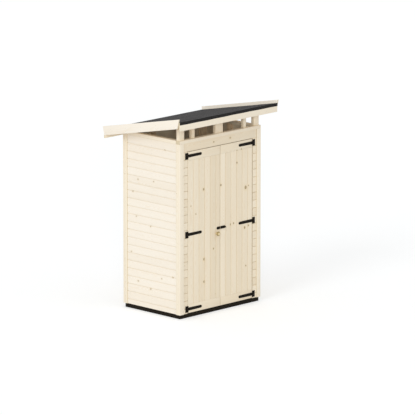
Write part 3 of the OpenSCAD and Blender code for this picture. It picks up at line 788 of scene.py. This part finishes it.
BARGE_RISE, BARGE_H, BARGE_RAKE = 0.033, 0.102, 0.025   # above the felt, height, and cut back at the foot
BARGE_INSET = 0.0004       # its face inside the CAD's, so that the nail heads stay in the box
BARGE_NAILS, BARGE_END = 5, 0.12
for name, s in (("barge_left", -1), ("barge_right", 1)):
    lo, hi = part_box(name)
    y0, y1 = lo.y + BARGE_RAKE, hi.y - BARGE_RAKE
    foot = BARGE_H - BARGE_RISE
    outline = [(y0, roof_z(y0) - foot), (y1, roof_z(y1) - foot),
               (hi.y, roof_z(hi.y) + BARGE_RISE), (lo.y, roof_z(lo.y) + BARGE_RISE)]
    x0, x1 = (lo.x + BARGE_INSET, hi.x) if s < 0 else (lo.x, hi.x - BARGE_INSET)
    t = Timber(name + "_board")
    t.prism(outline, 0, x0, x1, (down, up_slope, X), 0.0025, 1.0)
    t.build("shed", "pine_trim", MAT_SIDE_PAINTED_LIGHT, name)
    for k in range(BARGE_NAILS):
        y = lo.y + BARGE_END + (hi.y - lo.y - 2 * BARGE_END) * k / (BARGE_NAILS - 1)
        for drop in (0.012, 0.045):
            nails.append(((x1 if s > 0 else x0, y, roof_z(y) - drop), (s, 0, 0)))

UNDER_FELT = 0.0032        # top of a fascia below the felt's top
FASCIA_NAILS = (-0.585, 0.0, 0.585)
for name, s in (("fascia_front", -1), ("fascia_back", 1)):
    lo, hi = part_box(name)
    outline = [(lo.y, lo.z), (hi.y, lo.z),
               (hi.y, roof_z(hi.y) - UNDER_FELT), (lo.y, roof_z(lo.y) - UNDER_FELT)]
    t = Timber(name + "_board")
    t.prism(outline, 0, lo.x, hi.x, (X, Z, Y), 0.0022, 1.0)
    t.build("shed", "pine_trim", MAT_TRIM, name)
    face = lo.y if s < 0 else hi.y
    for x in FASCIA_NAILS:
        nails.append(((x, face, lo.z + 0.03), (0, s, 0)))
        nails.append(((x, face, lo.z + 0.055), (0, s, 0)))

heads("wall_nails", nails, 0.0021, 0.0003, "shed", MAT_STEEL, recess=False, segments=10)

# ---------------------------------------------------------------- doors
# tint of each door board, from the left
DOOR_TONES = {"left": (0.85, 0.8, 0.35, 0.8, 0.05, 0.15), "right": (1.0, 0.2, 0.75, 0.3, 0.45, 0.7)}
CUT_BOARD = 0.0795         # the right leaf's board beside the gap
DOOR_V = 0.0040            # V edge of the doors' boards
END_GAP = 0.0003           # between their ends and the top and bottom boards
for side, s in (("left", -1), ("right", 1)):
    body = "door_" + side
    material = MAT_DOOR_L if s < 0 else MAT_DOOR_R
    lo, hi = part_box(body + "_boards")
    if s < 0:
        seams = [lo.x + COVER * k for k in range(6)] + [hi.x]
    else:
        seams = [lo.x] + [lo.x + CUT_BOARD + COVER * k for k in range(5)] + [hi.x]
    t = Timber(body + "_boards_matched")
    # painted shade on the leaves' plain edges, all but the right leaf's edge at the middle
    for k, (x0, x1) in enumerate(zip(seams, seams[1:])):
        t.matched(2, lo.z + END_GAP, hi.z - END_GAP, 0, x0, x1, lo.y, hi.y, tongue=k < len(seams) - 2,
                  groove=k > 0, tint=DOOR_TONES[side][k], v=DOOR_V, outer=0.0 if s > 0 and k == 0 else 1.0)
    t.build(body, "pine_cladding", material, body + "_boards")

    lo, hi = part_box(body + "_rails")
    t = Timber(body + "_rails_boards")
    for z0, z1 in ((lo.z, lo.z + RAIL_H), (hi.z - RAIL_H, hi.z)):
        # painted shade on the rails' top and bottom edges
        t.block(Vector((lo.x, lo.y, z0)), Vector((hi.x, hi.y, z1)), 0, ease=0.0024, edges=(1.0, 1.0))
    t.build(body, "pine_cladding", material, body + "_rails")

    lo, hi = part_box(body + "_ledges")
    t = Timber(body + "_ledges_boards")
    screws = []
    for z0 in (lo.z, LEDGE_Z, hi.z - LEDGE_H):
        t.block(Vector((lo.x, lo.y, z0)), Vector((hi.x, hi.y, z0 + LEDGE_H)), 0, ease=0.003)
        for x in [(a + b) / 2 for a, b in zip(seams, seams[1:])]:
            if lo.x < x < hi.x:
                screws += [((x, hi.y, z0 + up), (0, 1, 0)) for up in (0.035, 0.085)]
    t.build(body, "frame_timber", MAT_WALL, body + "_ledges")
    heads(body + "_ledge_screws", screws, 0.0035, 0.0008, body, MAT_STEEL, segments=10)

# ---------------------------------------------------------------- ironwork
for name in ("hinge_plates", "door_left_straps", "door_right_straps", "bolt_keeper", "bolt_plate", "bolt"):
    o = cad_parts[name]
    o.data.materials.clear()
    o.data.materials.append(MAT_IRON)
    bevel = o.modifiers.new("eased", "BEVEL")
    bevel.width, bevel.segments, bevel.limit_method = 0.0004, 2, "ANGLE"
    bevel.angle_limit = math.radians(40)

STRAP_SCREWS = ((0.028, 0.009), (0.075, 0.0), (0.130, 0.0), (0.188, 0.0))  # from the pin, and off the middle
PLATE_SCREWS, PLATE_X = (-0.027, -0.009, 0.009, 0.027), 0.0225     # off the middle, and from the pin
iron_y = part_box("door_left_boards")[0].y - IRON_T
bolt_lo, bolt_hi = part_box("bolt")
bolt_z = (bolt_lo.z + bolt_hi.z) / 2
for side, s in (("left", -1), ("right", 1)):
    screws = []
    for z in HINGES:
        for reach, spread in STRAP_SCREWS:
            for dz in {spread, -spread}:
                screws.append(((s * (PIN_X - reach), iron_y, z + dz), (0, -1, 0)))
    heads("door_" + side + "_strap_screws", screws, 0.0045, 0.0022, "door_" + side, MAT_IRON)
    plate_x = s * (PIN_X + PLATE_X)
    screws = [((plate_x, iron_y, z + dz), (0, -1, 0)) for z in HINGES for dz in PLATE_SCREWS]
    heads("hinge_plate_screws_" + side, screws, 0.0042, 0.0020, "shed", MAT_IRON)
for name, body, columns, spread in (("bolt_plate_screws", "door_right", (0.024, 0.048), 0.0095),
                                    ("bolt_keeper_screws", "door_left", (-0.0095, -0.040), 0.0075)):
    screws = [((x, iron_y, bolt_z + dz), (0, -1, 0)) for x in columns for dz in (-spread, spread)]
    heads(name, screws, 0.0026, 0.0016, body, MAT_IRON)

# ---------------------------------------------------------------- turned knob
lo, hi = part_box("door_knob")
R = (hi.x - lo.x) / 2
L = hi.y - lo.y
mid = Vector(((lo.x + hi.x) / 2, hi.y, (lo.z + hi.z) / 2))
belly = L - 0.62 * R       # height of its widest place
profile = []
for k in range(15):
    a = math.pi / 2 * k / 14
    profile.append((R * math.sin(a), belly + 0.62 * R * math.cos(a)))
for k in range(1, 8):
    a = math.pi / 2 * k / 7
    profile.append((R * (1 - 0.52 * (1 - math.cos(a))), belly - 0.30 * R * math.sin(a)))
# the neck and foot, as shares of its radius and length
NECK = ((0.455, 0.20), (0.45, 0.15), (0.52, 0.115), (0.6, 0.095), (0.6, 0.0))
profile += [(R * wide, L * up) for wide, up in NECK]
bm = bmesh.new()
turn(bm, profile, mid, Vector((0, -1, 0)), 48)
bmesh.ops.recalc_face_normals(bm, faces=bm.faces)
t = Timber("door_knob_turned")
t.take(bm, (Y, X, Z), 0.6)
t.build("door_left", "knob_wood", knob_wood((lo + hi) / 2, R), "door_knob")


# ---------------------------------------------------------------- floor, light and camera
def seen_rays(tree):
    """1 for rays from the camera, off gloss and through glass, which see the white background."""
    path = tree.nodes.new("ShaderNodeLightPath")
    total = path.outputs["Is Camera Ray"]
    for kind in ("Is Glossy Ray", "Is Transmission Ray"):
        either = tree.nodes.new("ShaderNodeMath")
        either.operation = "MAXIMUM"
        tree.links.new(total, either.inputs[0])
        tree.links.new(path.outputs[kind], either.inputs[1])
        total = either.outputs[0]
    return total


def stage_material():
    g = Graph("studio_floor")
    nodes, links = g.tree.nodes, g.tree.links
    nodes.remove(g.bsdf)
    plain = nodes.new("ShaderNodeBsdfDiffuse")
    plain.inputs["Color"].default_value = (0.80, 0.80, 0.81, 1)
    soft = nodes.new("ShaderNodeBsdfDiffuse")
    soft.inputs["Color"].default_value = (0.775, 0.78, 0.785, 1)
    glow = nodes.new("ShaderNodeEmission")
    glow.inputs["Color"].default_value = (1, 1, 1, 1)
    glow.inputs["Strength"].default_value = 0.345
    both = nodes.new("ShaderNodeAddShader")
    links.new(soft.outputs[0], both.inputs[0])
    links.new(glow.outputs[0], both.inputs[1])
    pick = nodes.new("ShaderNodeMixShader")
    links.new(seen_rays(g.tree), pick.inputs[0])
    links.new(plain.outputs[0], pick.inputs[1])
    links.new(both.outputs[0], pick.inputs[2])
    links.new(pick.outputs[0], g.out.inputs[0])
    return g.mat


HALF, BELOW = 60.0, -0.0004     # half its width, and how it stays clear of the shed's underside
corners = [(sx * HALF, sy * HALF, BELOW) for sx, sy in ((-1, -1), (1, -1), (1, 1), (-1, 1))]
mesh = bpy.data.meshes.new("studio_floor")
mesh.from_pydata(corners, [], [(0, 1, 2, 3)])
floor = bpy.data.objects.new("studio_floor", mesh)
floor.data.materials.append(stage_material())
bpy.context.scene.collection.objects.link(floor)
floor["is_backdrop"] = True

world = bpy.data.worlds.new("studio")
bpy.context.scene.world = world
world.use_nodes = True
tree = world.node_tree
tree.nodes.clear()
out = tree.nodes.new("ShaderNodeOutputWorld")
shown = tree.nodes.new("ShaderNodeBackground")
shown.inputs["Color"].default_value = (1, 1, 1, 1)
shown.inputs["Strength"].default_value = 1.0
fill = tree.nodes.new("ShaderNodeBackground")
fill.inputs["Color"].default_value = (0.985, 0.995, 1.0, 1)
fill.inputs["Strength"].default_value = 0.72
pick = tree.nodes.new("ShaderNodeMixShader")
tree.links.new(seen_rays(tree), pick.inputs[0])
tree.links.new(fill.outputs[0], pick.inputs[1])
tree.links.new(shown.outputs[0], pick.inputs[2])
tree.links.new(pick.outputs[0], out.inputs[0])


def studio_lamp(name, towards, energy, angle, color):
    """Distant soft lamp. towards is the direction from the object to it."""
    data = bpy.data.lights.new(name, "SUN")
    data.energy, data.angle, data.color = energy, math.radians(angle), color
    lamp = bpy.data.objects.new(name, data)
    lamp.rotation_mode = "QUATERNION"
    lamp.rotation_quaternion = Vector(towards).to_track_quat("Z", "Y")
    bpy.context.scene.collection.objects.link(lamp)


studio_lamp("key", (-0.86, -0.14, 0.50), 0.58, 24, (0.93, 0.97, 1.0))
studio_lamp("front_fill", (-0.69, -0.69, 0.22), 0.84, 12, (1.0, 0.95, 0.86))

# the camera's own axes, from its bearing and height in degrees, and its place along them
BEARING, ELEVATION = math.radians(-45.452), math.radians(12.531)
AIM, ASIDE, LOWER_BY, DISTANCE = Vector((0, 0, 1.1)), 0.168, 0.023, 56.07
LENS, SENSOR = 446.5, 36
level = math.cos(ELEVATION)
back = Vector((math.sin(BEARING) * level, -math.cos(BEARING) * level, math.sin(ELEVATION)))
right = Vector((math.cos(BEARING), math.sin(BEARING), 0))
upward = back.cross(right)
camera = bpy.data.objects.new("camera", bpy.data.cameras.new("camera"))
camera.data.sensor_width = SENSOR
camera.data.lens = LENS
camera.data.clip_start, camera.data.clip_end = 1.0, 200.0
camera.location = AIM + right * ASIDE - upward * LOWER_BY + back * DISTANCE
camera.rotation_mode = "QUATERNION"
camera.rotation_quaternion = Matrix((right, upward, back)).transposed().to_quaternion()
bpy.context.scene.collection.objects.link(camera)
bpy.context.scene.camera = camera
bpy.context.scene.view_settings.view_transform = "Standard"

low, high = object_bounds()
{"cad": [list(cad_low), list(cad_high)], "visual": [list(low), list(high)]}
